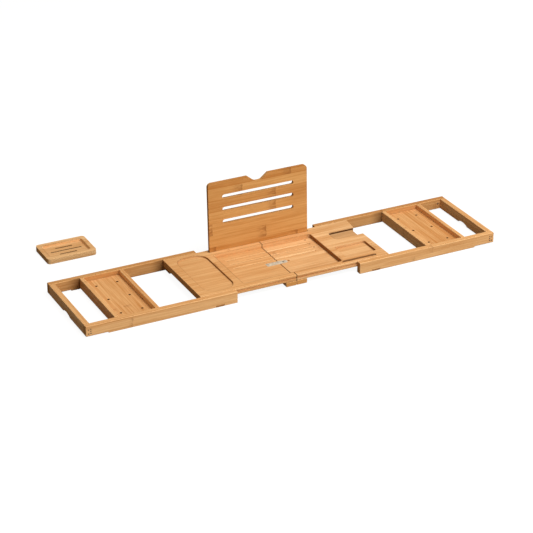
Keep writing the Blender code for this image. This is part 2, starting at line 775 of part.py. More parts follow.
def panel_outline():
    """The book rest's face: square foot, round shoulders, finger notch at the top."""
    half = PANEL_WIDTH / 2
    top = PANEL_HEIGHT
    low = top - FINGER_DEPTH
    corners = [
        (-half, 0, 0),
        (half, 0, 0),
        (half, top, PANEL_CORNER),
        (FINGER_TOP_HALF, top, FINGER_ROUND / 5),
        (FINGER_BOTTOM_HALF, low, FINGER_ROUND),
        (-FINGER_BOTTOM_HALF, low, FINGER_ROUND),
        (-FINGER_TOP_HALF, top, FINGER_ROUND / 5),
        (-half, top, PANEL_CORNER),
    ]
    return rounded(corners, 8)


def book_rest(parent):
    """The upright panel, leaning back in its slot."""
    half = PANEL_THICK / 2
    panel = plate(panel_outline(), -half, half, "Y")
    middle = panel.location[2]
    panel.data.transform(Matrix.Translation((0, 0, middle)))
    soften(panel)
    y, z = panel_foot()
    panel.location = (0, y, z)
    panel.rotation_euler = (-LEAN, 0, 0)
    for index in range(3):
        height = PANEL_HEIGHT - CUT_TOP - index * CUT_PITCH
        reach = CUT_LENGTH / 2
        bend = CUT_HEIGHT / 2
        outline = rectangle(-reach, height - bend, reach, height + bend, bend, 8)
        cut = plate(outline, -half - OVERRUN, half + OVERRUN, "Y")
        cut.data.transform(Matrix.Translation((0, 0, cut.location[2])))
        cut.location = panel.location
        cut.rotation_euler = panel.rotation_euler
        combine(panel, as_tool(cut, "cut_panel_%d" % (index + 1)))
    lift = make_empty("book_rest_lift", (0, y, z), parent)
    return keep(panel, "book_rest", wood("book_rest", 0.96), lift)


def soap_dish(parent):
    """The loose dish: round corners, a sunk bed and three drain slots."""
    half_x = DISH_WIDTH / 2
    half_y = DISH_DEPTH / 2
    outline = rectangle(DISH_X - half_x, DISH_Y - half_y, DISH_X + half_x, DISH_Y + half_y, DISH_CORNER, 6)
    dish = plate(outline, 0, DISH_HEIGHT, "Z")
    soften(dish)
    bed_x = half_x - DISH_RIM
    bed_y = half_y - DISH_RIM
    corner = DISH_HOLLOW_CORNER
    bed = rectangle(DISH_X - bed_x, DISH_Y - bed_y, DISH_X + bed_x, DISH_Y + bed_y, corner, 6)
    floor = DISH_HEIGHT - DISH_SINK
    combine(dish, as_tool(plate(bed, floor, DISH_HEIGHT + OVERRUN, "Z"), "cut_dish_bed"))
    for row, length in ((-1, DISH_SLOT_SHORT), (0, DISH_SLOT_LONG), (1, DISH_SLOT_SHORT)):
        y = DISH_Y + row * DISH_SLOT_PITCH
        reach = length / 2
        bend = DISH_SLOT_WIDTH / 2
        outline = rectangle(DISH_X - reach, y - bend, DISH_X + reach, y + bend, bend, 5)
        cut = as_tool(plate(outline, -OVERRUN, DISH_HEIGHT, "Z"), "cut_dish_%d" % (row + 2))
        combine(dish, cut)
    lift = make_empty("soap_dish_lift", (DISH_X, DISH_Y, 0), parent)
    return keep(dish, "soap_dish", wood("soap_dish", 1.03), lift)


def tray_half(side, cutters, parent):
    """A board with its seam batten, stop blocks and hinge leaves."""
    tag = "left" if side < 0 else "right"
    deck_board(side, tag + "_tray_board", 1.0 if side < 0 else 1.03, cutters, parent)
    tools = []
    for y in (-HINGE_PLACE, HINGE_PLACE):
        tools += hinge_tools(side, y)
    seam_batten(side, tag + "_seam_batten", 0.72, tools, parent)
    for front in (-1, 1):
        end = "front" if front < 0 else "rear"
        stop_block(side, front, "%s_%s_stop_block" % (tag, end), 0.7, parent)
        hinge_leaf(side, front * HINGE_PLACE, "%s_%s_hinge_leaf" % (tag, end), parent)


def build():
    """The whole caddy."""
    left = make_empty("left_half", (0, 0, 0))
    fold = make_empty("seam_fold", (0, 0, HINGE_AXIS_Z), left)
    shared = [tray_cutter(), *flute_cutters(), slot_cutter()]
    bed, hole, pocket = bar_cutters()
    tray_half(-1, shared + [bowl_cutter(), bed, hole], left)
    tray_half(1, shared + [*glass_cutters(), pocket_cutter(), groove_cutter(), bed, pocket], fold)
    for front in (-1, 1):
        end = "front" if front < 0 else "rear"
        hinge_pin(front * HINGE_PLACE, end + "_hinge_pin", left)
    locking_bar(left)
    wing(-1, left)
    wing(1, fold)
    book_rest(left)
    soap_dish(left)


clear_scene()
PARTS = make_collection("bath_caddy")
CUTTERS = make_collection("cutters")
build()
bpy.context.view_layer.update()
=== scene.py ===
# %% [markdown]
# # A bamboo bath caddy, dressed for its picture
#
# The caddy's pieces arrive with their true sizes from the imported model.
# This lesson gives them what the eye expects: strips of bamboo with fibres, nodes and end
# grain, brushed steel on the locking bar, screws under the seam, and the small pins that hold
# the corners. Lengths are in metres, and +Z is up.

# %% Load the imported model
import json
import math
from collections import namedtuple

import bpy
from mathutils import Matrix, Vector

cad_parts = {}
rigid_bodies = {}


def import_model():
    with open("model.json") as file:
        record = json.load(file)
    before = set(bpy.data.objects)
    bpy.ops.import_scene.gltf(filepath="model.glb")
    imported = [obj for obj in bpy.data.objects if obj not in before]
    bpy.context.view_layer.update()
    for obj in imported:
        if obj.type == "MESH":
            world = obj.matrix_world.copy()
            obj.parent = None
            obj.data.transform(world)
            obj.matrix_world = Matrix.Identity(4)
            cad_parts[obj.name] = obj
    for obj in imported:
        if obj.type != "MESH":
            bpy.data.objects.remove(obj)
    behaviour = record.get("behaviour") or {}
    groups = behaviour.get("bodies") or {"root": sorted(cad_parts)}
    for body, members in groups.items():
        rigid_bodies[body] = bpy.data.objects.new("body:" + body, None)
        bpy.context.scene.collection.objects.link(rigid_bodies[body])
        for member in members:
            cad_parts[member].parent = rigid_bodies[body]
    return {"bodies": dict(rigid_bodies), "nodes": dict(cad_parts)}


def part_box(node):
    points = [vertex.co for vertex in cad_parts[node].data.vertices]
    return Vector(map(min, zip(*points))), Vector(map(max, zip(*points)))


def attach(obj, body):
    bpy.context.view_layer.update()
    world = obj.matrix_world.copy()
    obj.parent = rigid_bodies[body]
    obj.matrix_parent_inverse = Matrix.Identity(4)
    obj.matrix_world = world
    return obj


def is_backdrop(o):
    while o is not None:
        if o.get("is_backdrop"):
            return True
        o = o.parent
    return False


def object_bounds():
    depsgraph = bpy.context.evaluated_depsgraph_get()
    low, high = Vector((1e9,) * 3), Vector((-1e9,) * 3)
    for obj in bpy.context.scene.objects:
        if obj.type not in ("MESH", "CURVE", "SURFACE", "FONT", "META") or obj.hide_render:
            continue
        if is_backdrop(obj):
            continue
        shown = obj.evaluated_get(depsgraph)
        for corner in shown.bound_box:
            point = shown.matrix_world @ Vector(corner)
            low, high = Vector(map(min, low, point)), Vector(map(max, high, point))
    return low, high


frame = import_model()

CAD_BOX = [list(corner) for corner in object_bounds()]
print("bodies:", ", ".join(sorted(frame["bodies"])))
print("pieces:", len(frame["nodes"]))
print("box of the model:", [[round(v, 4) for v in corner] for corner in CAD_BOX])

# %% [markdown]
# ## The camera
#
# The photograph was taken from the front, above and a little to the left, with a long lens.
# A camera is easy to place from four facts: the point it looks at, how far round it stands,
# how high it stands, and how far away. The direction from the target back to the camera is
# worked out from the two angles, and the camera is then turned to look down that line.

# %% Camera at the photograph's angle
TARGET = Vector((-0.0176, 0.0146, 0.0))
AZIMUTH = math.radians(-26.762)
ELEVATION = math.radians(26.721)
DISTANCE = 4.262
LENS = 126.49
SENSOR = 36.0
CLIP = (0.05, 60.0)


def add_camera():
    """A camera that looks at the target, with the horizon level."""
    data = bpy.data.cameras.new("camera")
    data.lens = LENS
    data.sensor_width = SENSOR
    data.sensor_fit = "HORIZONTAL"
    data.clip_start, data.clip_end = CLIP
    camera = bpy.data.objects.new("camera", data)
    bpy.context.scene.collection.objects.link(camera)
    flat = math.cos(ELEVATION)
    back = Vector((math.sin(AZIMUTH) * flat, -math.cos(AZIMUTH) * flat, math.sin(ELEVATION)))
    camera.location = TARGET + back * DISTANCE
    camera.rotation_euler = back.to_track_quat("Z", "Y").to_euler()
    bpy.context.scene.camera = camera
    return camera


camera = add_camera()
print("camera stands at", [round(v, 3) for v in camera.location])

# %% [markdown]
# ## Floor, sky and lamps
#
# A product picture has a white ground. Making it white with more light would bleach the wood,
# so the floor is made white only for the rays that the eye follows: the Light Path node tells
# a camera ray from a bounce of light. Bounced light meets a plain grey floor instead, which
# leaves the faces that look down in shade. A very large lamp hangs high over the front and
# gives the soft shadows, a second one stands low before the caddy and lights its front faces,
# and the sky fills the rest. The sky is white to the eye and slightly warm to bounced light.

# %% Small helpers for node trees


def add_node(tree, kind, place=(0, 0), **settings):
    """Adds a node, sets its plain settings, and returns it."""
    node = tree.nodes.new(kind)
    node.location = place
    for name, value in settings.items():
        setattr(node, name, value)
    return node


def eye_rays(tree):
    """1 for a ray that the eye follows: straight, mirrored or seen through glass."""
    path = add_node(tree, "ShaderNodeLightPath", (-800, 300))
    seen = path.outputs["Is Camera Ray"]
    for step, ray in enumerate(("Is Glossy Ray", "Is Transmission Ray")):
        either = add_node(tree, "ShaderNodeMath", (200 * step - 600, 300), operation="MAXIMUM")
        tree.links.new(seen, either.inputs[0])
        tree.links.new(path.outputs[ray], either.inputs[1])
        seen = either.outputs[0]
    return seen


def two_faced(tree, bounced, shown, output):
    """Links one shader for bounced light and another for the eye to the tree's output."""
    mix = add_node(tree, "ShaderNodeMixShader", (-150, 100))
    tree.links.new(eye_rays(tree), mix.inputs[0])
    tree.links.new(bounced.outputs[0], mix.inputs[1])
    tree.links.new(shown.outputs[0], mix.inputs[2])
    out = add_node(tree, output, (50, 100))
    tree.links.new(mix.outputs[0], out.inputs["Surface"])


# %% The floor
FLOOR_HALF = 9.0
FLOOR_DROP = 0.0003
FLOOR_SHOWN = (0.14, 0.14, 0.14, 1)
FLOOR_GLOW = 0.93
FLOOR_BOUNCE = (0.17, 0.17, 0.17, 1)


def floor_material():
    """White to the eye with a faint shadow, and grey to bounced light."""
    material = bpy.data.materials.new("studio_floor")
    material.use_nodes = True
    tree = material.node_tree
    tree.nodes.clear()
    shade = add_node(tree, "ShaderNodeBsdfDiffuse", (-600, 0))
    shade.inputs["Color"].default_value = FLOOR_SHOWN
    glow = add_node(tree, "ShaderNodeEmission", (-600, -150))
    glow.inputs["Strength"].default_value = FLOOR_GLOW
    shown = add_node(tree, "ShaderNodeAddShader", (-400, -50))
    tree.links.new(shade.outputs[0], shown.inputs[0])
    tree.links.new(glow.outputs[0], shown.inputs[1])
    bounce = add_node(tree, "ShaderNodeBsdfDiffuse", (-400, 120))
    bounce.inputs["Color"].default_value = FLOOR_BOUNCE
    two_faced(tree, bounce, shown, "ShaderNodeOutputMaterial")
    return material


def add_floor():
    """A large square under the caddy, marked as not part of it."""
    mesh = bpy.data.meshes.new("floor")
    corners = [(-1, -1), (1, -1), (1, 1), (-1, 1)]
    points = [(x * FLOOR_HALF, y * FLOOR_HALF, -FLOOR_DROP) for x, y in corners]
    mesh.from_pydata(points, [], [(0, 1, 2, 3)])
    mesh.materials.append(floor_material())
    floor = bpy.data.objects.new("floor", mesh)
    bpy.context.scene.collection.objects.link(floor)
    floor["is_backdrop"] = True


add_floor()
print("floor is", 2 * FLOOR_HALF, "m across")

# %% The sky and the lamps
SKY_STRENGTH = 0.26
SKY_COLOUR = (1.0, 0.86, 0.62, 1)
WHITE = (1, 1, 1, 1)
LAMP_DISTANCE = 3.5
# Each lamp: its name, the direction it hangs in, its width and its power in watts.
LAMPS = (
    ("key_lamp", (0.22, -0.42, 0.88), 2.3, 117.0),
    ("front_lamp", (0.12, -0.97, 0.20), 1.5, 45.0),
)


def set_sky():
    """A white background for the eye and a soft warm fill for the object."""
    world = bpy.data.worlds.new("sky")
    world.use_nodes = True
    tree = world.node_tree
    tree.nodes.clear()
    fill = add_node(tree, "ShaderNodeBackground", (-400, 0))
    fill.inputs["Color"].default_value = SKY_COLOUR
    fill.inputs["Strength"].default_value = SKY_STRENGTH
    shown = add_node(tree, "ShaderNodeBackground", (-400, -150))
    shown.inputs["Color"].default_value = WHITE
    two_faced(tree, fill, shown, "ShaderNodeOutputWorld")
    bpy.context.scene.world = world


def add_lamp(name, toward, size, power):
    """A large square lamp that looks at the caddy from the given direction."""
    data = bpy.data.lights.new(name, "AREA")
    data.shape = "SQUARE"
    data.size = size
    data.energy = power
    lamp = bpy.data.objects.new(name, data)
    direction = Vector(toward).normalized()
    lamp.location = direction * LAMP_DISTANCE
    lamp.rotation_euler = direction.to_track_quat("Z", "Y").to_euler()
    bpy.context.scene.collection.objects.link(lamp)
    return lamp


set_sky()
for name, toward, size, power in LAMPS:
    lamp = add_lamp(name, toward, size, power)
    print(name, "at", [round(v, 2) for v in lamp.location], "with", power, "W")
bpy.context.scene.view_settings.view_transform = "Standard"

# %% [markdown]
# ## Bamboo
#
# Bamboo board is glued up from strips about 20 mm wide. Each strip has its own tone, fine
# dark fibres that run along it, and a node every 200 to 300 mm, where the cane had a joint:
# a thin cross line with a brown cloud on one side. Cut across, the fibres show as dots.
# All of this follows from three numbers at each point, which are the distances along the
# grain, across the strips and through the thickness. So one group of nodes draws it, and
# every piece only says which way its grain runs. The rounded edges are a little paler, as
# a painted highlight.

# %% Shorthand for sums in a node tree
NODES_IN_ROW = 12


class Graph:
    """Writes arithmetic as nodes, one call for each step."""

    def __init__(self, tree):
        self.tree = tree
        self.count = 0

    def node(self, kind, **settings):
        """A node in the next free place of the tree."""
        self.count += 1
        place = (200 * (self.count % NODES_IN_ROW), -220 * (self.count // NODES_IN_ROW))
        return add_node(self.tree, kind, place, **settings)

    def plug(self, value, socket):
        """Links an output to a socket, or writes a plain value in it."""
        if isinstance(value, bpy.types.NodeSocket):
            self.tree.links.new(value, socket)
        else:
            socket.default_value = value

    def math(self, operation, *values, clamp=False):
        step = self.node("ShaderNodeMath", operation=operation, use_clamp=clamp)
        for value, socket in zip(values, step.inputs):
            self.plug(value, socket)
        return step.outputs[0]

    def chain(self, operation, first, *others):
        """Joins any number of values two at a time, as a Math node takes no more."""
        for other in others:
            first = self.math(operation, first, other)
        return first

    def add(self, *values):
        return self.chain("ADD", *values)

    def times(self, *values):
        return self.chain("MULTIPLY", *values)

    def highest(self, *values):
        return self.chain("MAXIMUM", *values)

    def minus(self, first, second):
        return self.math("SUBTRACT", first, second)

    def absolute(self, value):
        return self.math("ABSOLUTE", value)

    def above(self, value, limit):
        """1 where the value is greater than the limit, else 0."""
        return self.math("GREATER_THAN", value, limit)

    def below(self, value, limit):
        """1 where the value is less than the limit, else 0."""
        return self.math("LESS_THAN", value, limit)

    def between(self, value, low, high):
        """1 while the value lies between two limits, else 0."""
        return self.times(self.above(value, low), self.below(value, high))

    def weighted(self, start, *terms):
        """The start value plus each term's value times its weight."""
        for value, weight in terms:
            start = self.add(start, self.times(value, weight))
        return start

    def ramp(self, value, low, high, start=0.0, end=1.0):
        """A smooth step from start to end while value goes from low to high."""
        step = self.node("ShaderNodeMapRange", interpolation_type="SMOOTHSTEP")
        labels = ("From Min", "From Max", "To Min", "To Max")
        for label, number in zip(labels, (low, high, start, end)):
            self.plug(number, step.inputs[label])
        self.plug(value, step.inputs["Value"])
        return step.outputs["Result"]

    def join(self, x, y, z):
        """Three numbers as one vector."""
        step = self.node("ShaderNodeCombineXYZ")
        for value, socket in zip((x, y, z), step.inputs):
            self.plug(value, socket)
        return step.outputs[0]

    def noise(self, vector, detail=2.0, scale=1.0):
        """Soft noise from 0 to 1."""
        step = self.node("ShaderNodeTexNoise")
        self.plug(vector, step.inputs["Vector"])
        step.inputs["Scale"].default_value = scale
        step.inputs["Detail"].default_value = detail
        return step.outputs["Fac"]

    def chance(self, x, y):
        """A steady random number for each pair of whole numbers."""
        step = self.node("ShaderNodeTexWhiteNoise", noise_dimensions="2D")
        self.plug(self.join(x, y, 0.0), step.inputs["Vector"])
        return step.outputs["Value"]

    def mix(self, share, first, second, blend="MIX"):
        """The first colour with a share of the second in it."""
        step = self.node("ShaderNodeMix", data_type="RGBA", blend_type=blend)
        self.plug(share, step.inputs["Factor"])
        self.plug(first, step.inputs[6])
        self.plug(second, step.inputs[7])
        return step.outputs[2]

    def object_place(self):
        """The point's own place on its piece, in metres."""
        return self.node("ShaderNodeTexCoord").outputs["Object"]

    def split(self, vector):
        """The three numbers of a vector."""
        step = self.node("ShaderNodeSeparateXYZ")
        self.plug(vector, step.inputs[0])
        return step.outputs


print("a graph can add, compare, step, join, mix and draw noise")

# %% [markdown]
# ### The bamboo group
#
# The group takes the three distances and a few sizes by name. Inside, the point's strip is
# found by dividing the distance across by the strip's width and dropping the fraction. That
# whole number seeds the strip's own tone and slides its grain along, so that no two strips
# match. Noise stretched fifty times longer than it is wide makes the fibres. The nodes
# come from the same trick along the grain, with a second draw to leave some out.

# %% Colours and sizes of bamboo
LIGHT_STRAW = (0.850, 0.508, 0.238, 1)
DARK_FIBRE = (0.560, 0.235, 0.068, 1)
NODE_BROWN = (0.330, 0.130, 0.045, 1)
END_GRAIN = (0.600, 0.300, 0.105, 1)
# The paler colour of painted light: highlights on rounded edges and bounce light on some walls.
PAINTED_LIGHT_TONE = (0.900, 0.600, 0.320, 1)

GROUP_INPUTS = (
    ("Along", 0.0), ("Across", 0.0), ("Through", 0.0), ("End", 0.0), ("Edge", 0.0),
    ("Strip Width", 0.021), ("Node Spacing", 0.26), ("Seed", 1.0), ("Node Share", 0.5),
    ("Cloud Length", 0.012), ("Cloud Strength", 0.34), ("Contrast", 1.0),
    ("Tone Strength", 0.26),
)
GROUP_OUTPUTS = (
    ("Color", "NodeSocketColor"), ("Roughness", "NodeSocketFloat"), ("Height", "NodeSocketFloat"),
)

# Each pattern: length and width of its noise, its detail, and where the noise starts and ends.
FIBRE = (0.030, 0.0006, 2.0, 0.40, 0.68)
STREAK = (0.110, 0.0032, 3.0, 0.36, 0.66)
CLOUD = (0.240, 0.0150, 2.0, 0.34, 0.68)
BLOTCH = (0.0160, 0.0060, 2.0, 0.28, 0.62)

SEED_STEP = 3.37
SHIFT_SEED = 17.0
LONGEST_SHIFT = 1.9
WOBBLE_SIZE = 0.0060
WOBBLE = 0.030
NODE_LINE = (0.0003, 0.0015)
NODE_LINE_STRENGTH = 0.30
NODE_FAR_SIDE = 0.0022
GLUE_SHARE = 0.022
PAINTED_LIGHT_STRENGTH = 0.35
DOT_SCALE = 1500.0
DOT_RIM = (0.10, 0.45)
END_TONE = 0.45

# How much each pattern darkens, roughens and raises the surface.
DARKNESS = {"fibre": 0.20, "streak": 0.32, "cloud": 0.28, "glue": 0.22}
ROUGHNESS = {"base": 0.36, "fibre": 0.10, "end": 0.22, "edge": -0.05}
RELIEF = {"base": 1.0, "fibre": -0.55, "node": 0.6, "glue": -0.8}
print("bamboo has", len(DARKNESS), "patterns besides each strip's own tone")

# %% Build the bamboo group


def end_grain(graph, given, tone):
    """Dots, as the fibres show where they are cut across."""
    dots = graph.node("ShaderNodeTexVoronoi")
    dots.inputs["Scale"].default_value = DOT_SCALE
    graph.plug(graph.join(given["Across"], given["Through"], 0.0), dots.inputs["Vector"])
    cut = graph.ramp(dots.outputs["Distance"], *DOT_RIM)
    colour = graph.mix(cut, NODE_BROWN, END_GRAIN)
    return graph.mix(graph.times(tone, END_TONE), colour, DARK_FIBRE)


def bamboo_group():
    """Colour, roughness and height of glued bamboo strips."""
    tree = bpy.data.node_groups.new("glued_bamboo", "ShaderNodeTree")
    for name, value in GROUP_INPUTS:
        socket = tree.interface.new_socket(name, in_out="INPUT", socket_type="NodeSocketFloat")
        socket.default_value = value
    for name, kind in GROUP_OUTPUTS:
        tree.interface.new_socket(name, in_out="OUTPUT", socket_type=kind)
    graph = Graph(tree)
    given = graph.node("NodeGroupInput").outputs
    seed = given["Seed"]

    strips = graph.math("DIVIDE", given["Across"], given["Strip Width"])
    strips = graph.add(strips, graph.times(seed, SEED_STEP))
    strip = graph.math("FLOOR", strips)
    within = graph.math("FRACT", strips)
    tone = graph.chance(strip, seed)
    shift = graph.chance(strip, graph.add(seed, SHIFT_SEED))
    along = graph.add(given["Along"], graph.times(shift, LONGEST_SHIFT))

    def drawn_out(length, width, detail):
        """Noise drawn out along the strip."""
        x = graph.times(along, 1 / length)
        y = graph.times(given["Across"], 1 / width)
        z = graph.times(given["Through"], 1 / width)
        return graph.noise(graph.join(x, y, z), detail)

    def pattern(length, width, detail, low, high):
        """Drawn-out noise, made crisper."""
        return graph.ramp(drawn_out(length, width, detail), low, high)

    fibre = pattern(*FIBRE)
    wobble = graph.minus(drawn_out(WOBBLE_SIZE, WOBBLE_SIZE, 2.0), 0.5)
    number = graph.add(graph.math("DIVIDE", along, given["Node Spacing"]), tone)
    number = graph.add(number, graph.times(wobble, WOBBLE))
    past = graph.minus(graph.math("FRACT", number), 0.5)
    past = graph.times(past, given["Node Spacing"])
    drawn = graph.chance(graph.math("FLOOR", number), strip)
    present = graph.below(drawn, given["Node Share"])
    line = graph.times(graph.ramp(graph.absolute(past), *NODE_LINE, 1.0, 0.0), present)
    near_side = graph.ramp(past, graph.times(given["Cloud Length"], -1.0), 0.0)
    far_side = graph.ramp(past, 0.0, NODE_FAR_SIDE, 1.0, 0.0)
    blotch = graph.times(near_side, far_side, present, pattern(*BLOTCH))

    nearest = graph.math("MINIMUM", within, graph.minus(1.0, within))
    glue = graph.ramp(nearest, 0.0, GLUE_SHARE, 1.0, 0.0)

    dark = graph.weighted(
        0.0, (fibre, DARKNESS["fibre"]), (pattern(*STREAK), DARKNESS["streak"]),
        (pattern(*CLOUD), DARKNESS["cloud"]), (tone, given["Tone Strength"]),
        (glue, DARKNESS["glue"]),
    )
    dark = graph.math("MULTIPLY", dark, given["Contrast"], clamp=True)
    colour = graph.mix(dark, LIGHT_STRAW, DARK_FIBRE)
    colour = graph.mix(graph.times(blotch, given["Cloud Strength"]), colour, NODE_BROWN)
    colour = graph.mix(graph.times(line, NODE_LINE_STRENGTH), colour, NODE_BROWN)
    # Painted highlight on rounded edges and painted bounce light on some walls, mixed towards a
    # paler colour.
    colour = graph.mix(graph.times(given["Edge"], PAINTED_LIGHT_STRENGTH), colour, PAINTED_LIGHT_TONE)
    colour = graph.mix(given["End"], colour, end_grain(graph, given, tone))

    rough = graph.weighted(
        ROUGHNESS["base"], (fibre, ROUGHNESS["fibre"]), (given["End"], ROUGHNESS["end"]),
        (given["Edge"], ROUGHNESS["edge"]),
    )
    height = graph.weighted(
        RELIEF["base"], (fibre, RELIEF["fibre"]), (line, RELIEF["node"]), (glue, RELIEF["glue"]),
    )
    made = graph.node("NodeGroupOutput")
    for name, value in (("Color", colour), ("Roughness", rough), ("Height", height)):
        tree.links.new(value, made.inputs[name])
    return tree


BAMBOO = bamboo_group()
print("the bamboo group has", len(BAMBOO.nodes), "nodes")

# %% [markdown]
# ### From the group to a material
#
# A material feeds the group with the piece's Object coordinates, swapped so that the first
# one always runs with the grain. The same swap of the surface's normal tells end grain from
# long grain: where the normal points along the grain, the saw has cut the fibres across. A
# normal that leans between two axes belongs to a rounded edge, which gets a painted highlight
# and shows as slightly paler. The lacquer is matt, so the wood mirrors almost nothing.

# %% One bamboo material for each finish
# The dark brown of painted shade and painted shadow in recesses, holes and corners, and of the
# dark seam between the boards.
SHADE_AND_SEAM_BROWN = (0.115, 0.042, 0.012, 1)
GRAIN_ORDERS = {"X": (0, 1, 2), "Y": (1, 0, 2), "X_upright": (0, 2, 1), "Y_upright": (1, 2, 0)}
END_TURN = (0.70, 0.90)
EDGE_TURN = (0.955, 0.985)
LOW_EDGE_HIGHLIGHT = 0.65
WOOD_BUMP = (0.25, 0.0002)
WOOD_MIRROR = 0.005


def blank_material(name):
    """A material with an empty tree, and the graph that fills it."""
    material = bpy.data.materials.new(name)
    material.use_nodes = True
    material.node_tree.nodes.clear()
    return material, Graph(material.node_tree)


def surface(graph, colour, roughness, height, bump_size):
    """A bumped Principled surface, linked to the material's output."""
    bump = graph.node("ShaderNodeBump")
    bump.inputs["Strength"].default_value, bump.inputs["Distance"].default_value = bump_size
    graph.plug(height, bump.inputs["Height"])
    shader = graph.node("ShaderNodeBsdfPrincipled")
    graph.plug(colour, shader.inputs["Base Color"])
    graph.plug(roughness, shader.inputs["Roughness"])
    graph.plug(bump.outputs[0], shader.inputs["Normal"])
    out = graph.node("ShaderNodeOutputMaterial")
    graph.plug(shader.outputs[0], out.inputs["Surface"])
    return shader


def bamboo(name, grain, tint, painted_shade_and_seam=None, edge_highlight_above=None, bounce_light=None, **sizes):
    """Bamboo along the given axis, darkened by painted shade and the seam, lightened by painted
    light.
    """
    material, graph = blank_material(name)
    where = graph.node("ShaderNodeTexCoord")
    place = graph.split(where.outputs["Object"])
    order = GRAIN_ORDERS[grain]
    size = [graph.absolute(part) for part in graph.split(where.outputs["Normal"])]
    end = graph.ramp(size[order[0]], *END_TURN)
    # Painted highlight where the normal leans between two axes, weaker low on the piece.
    edge = graph.ramp(graph.highest(*size), *EDGE_TURN, 1.0, 0.0)
    if edge_highlight_above:
        edge = graph.times(edge, graph.highest(graph.above(place[2], edge_highlight_above), LOW_EDGE_HIGHLIGHT))
    # Painted bounce light on some walls, joined with the painted edge highlight.
    if bounce_light:
        lift = bounce_light(graph, place)
        edge = graph.highest(edge, lift)
        end = graph.times(end, graph.math("SUBTRACT", 1.0, lift, clamp=True))
    group = graph.node("ShaderNodeGroup", node_tree=BAMBOO)
    for label, axis in zip(("Along", "Across", "Through"), order):
        graph.plug(place[axis], group.inputs[label])
    graph.plug(end, group.inputs["End"])
    graph.plug(edge, group.inputs["Edge"])
    for label, value in sizes.items():
        group.inputs[label.replace("_", " ").title()].default_value = value
    colour = graph.mix(1.0, group.outputs["Color"], (*tint, 1), "MULTIPLY")
    # Painted shade and shadow, and the seam on the boards, mixed in towards dark brown.
    if painted_shade_and_seam:
        colour = graph.mix(painted_shade_and_seam(graph, place, size), colour, SHADE_AND_SEAM_BROWN)
    rough, height = group.outputs["Roughness"], group.outputs["Height"]
    shader = surface(graph, colour, rough, height, WOOD_BUMP)
    shader.inputs["Specular IOR Level"].default_value = WOOD_MIRROR
    return material


def dress(material, *names):
    """Puts one material on the named pieces."""
    for name in names:
        mesh = frame["nodes"][name].data
        mesh.materials.clear()
        mesh.materials.append(material)


print("grain can run", ", ".join(GRAIN_ORDERS))

# %% [markdown]
# ### Painted shade in recesses
#
# The upright walls of recesses, holes and slots are painted darker than the faces, as
# painted shade, and a brown line of painted shade runs round each sunk floor. CAD meshes
# stay as they are, so the painted shade is found from the place alone. In plan a recess is a
# rectangle with rounded corners, and the distance to such a shape takes a few sums: how far
# the point lies past the straight part on each axis, joined by Pythagoras, less the corner's
# radius. It is negative within the recess, and a ramp over its last millimetres gives the
# line.

# %% Shapes in plan


def disc(graph, x, y, centre, radius):
    """1 inside a circle in plan, 0 outside it."""
    dx = graph.minus(x, centre[0])
    dy = graph.minus(y, centre[1])
    away = graph.math("SQRT", graph.add(graph.times(dx, dx), graph.times(dy, dy)))
    return graph.below(away, radius)


def distance_to(graph, place, low, high, corner):
    """Signed distance in plan to a rectangle with rounded corners."""
    past = []
    for axis in (0, 1):
        middle = (low[axis] + high[axis]) / 2
        straight = (high[axis] - low[axis]) / 2 - corner
        past.append(graph.minus(graph.absolute(graph.minus(place[axis], middle)), straight))
    over = [graph.highest(value, 0.0) for value in past]
    squares = [graph.times(value, value) for value in over]
    far = graph.math("SQRT", graph.add(*squares))
    near = graph.math("MINIMUM", graph.highest(*past), 0.0)
    return graph.minus(graph.add(far, near), corner)


print("shapes in plan: a disc and a rounded rectangle")

# %% [markdown]
# ### Painted shade and the seam on the boards
#
# Each recess gets two lines of painted shade: one inside, up its walls and along its floor, and a
# fainter one on the board's face round its rim. The inner line may be stronger at the right end,
# where the wall that looks to the left shows in shade. The glass bay's undercut in its rear wall
# gets a dark band of painted shadow, and painted shade on its floor darkens towards it.

# %% Painted shade and the seam on the boards
Recess = namedtuple("Recess", "low high corner floor width ends rim_width rim_strength")
# Each recess: its low and high corners in plan, corner radius, floor height, width of the inner
# line of painted shade, that line's strength before and at its right end, and width and strength
# of the rim line of painted shade.
TRAY = Recess(
    (-0.1240, -0.0850), (0.1240, 0.0725), 0.006, 0.0180, 0.0042, (0.06, 0.52), 0.0028, 0.42)
OVAL = Recess(
    (-0.2155, -0.0890), (-0.1415, 0.0890), 0.027, 0.0235, 0.0024, (0.30, 0.34), 0.0017, 0.34)
POCKET = Recess(
    (0.1410, -0.0710), (0.2200, -0.0150), 0.005, 0.0215, 0.0020, (0.22, 0.50), 0.0011, 0.16)
GLASS_BAY = Recess(
    (0.1630, 0.0190), (0.2500, 0.0560), 0.008, 0.0220, 0.0022, (0.50, 0.50), 0.0020, 0.50)
GROOVE = Recess(
    (0.1240, -0.0923), (0.2095, -0.0848), 0.0036, 0.0210, 0.0010, (0.60, 0.60), 0.0010, 0.40)
RECESSES = (TRAY, OVAL, POCKET, GLASS_BAY, GROOVE)
# Painted shadow: small dark marks at the shaded ends of the flutes and of the book rest's slot.
SHADOW_MARKS = (
    ((0.1076, 0.0645), 0.0022), ((0.1070, 0.0412), 0.0022), ((0.1088, 0.0226), 0.0022),
    ((-0.1278, 0.0912), 0.0020), ((0.1278, 0.0912), 0.0020),
)
SHADOW_MARK_STRENGTH = 0.80
BOARD_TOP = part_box("left_tray_board")[1][2]
ROUNDING = 0.0008
SKIN = 0.0002
WALL_REACH = 0.0004
FLOOR_REACH = 0.0005
END_FADE = 0.010
# Painted shadow in the glass bay's undercut, and painted shade on its floor.
UNDERCUT_DEPTHS = (0.0001, 0.0030)
UNDERCUT_HEIGHTS = (0.0200, 0.0256)
UNDERCUT_SHADOW_STRENGTH = 0.95
BAY_SHADE = 0.30
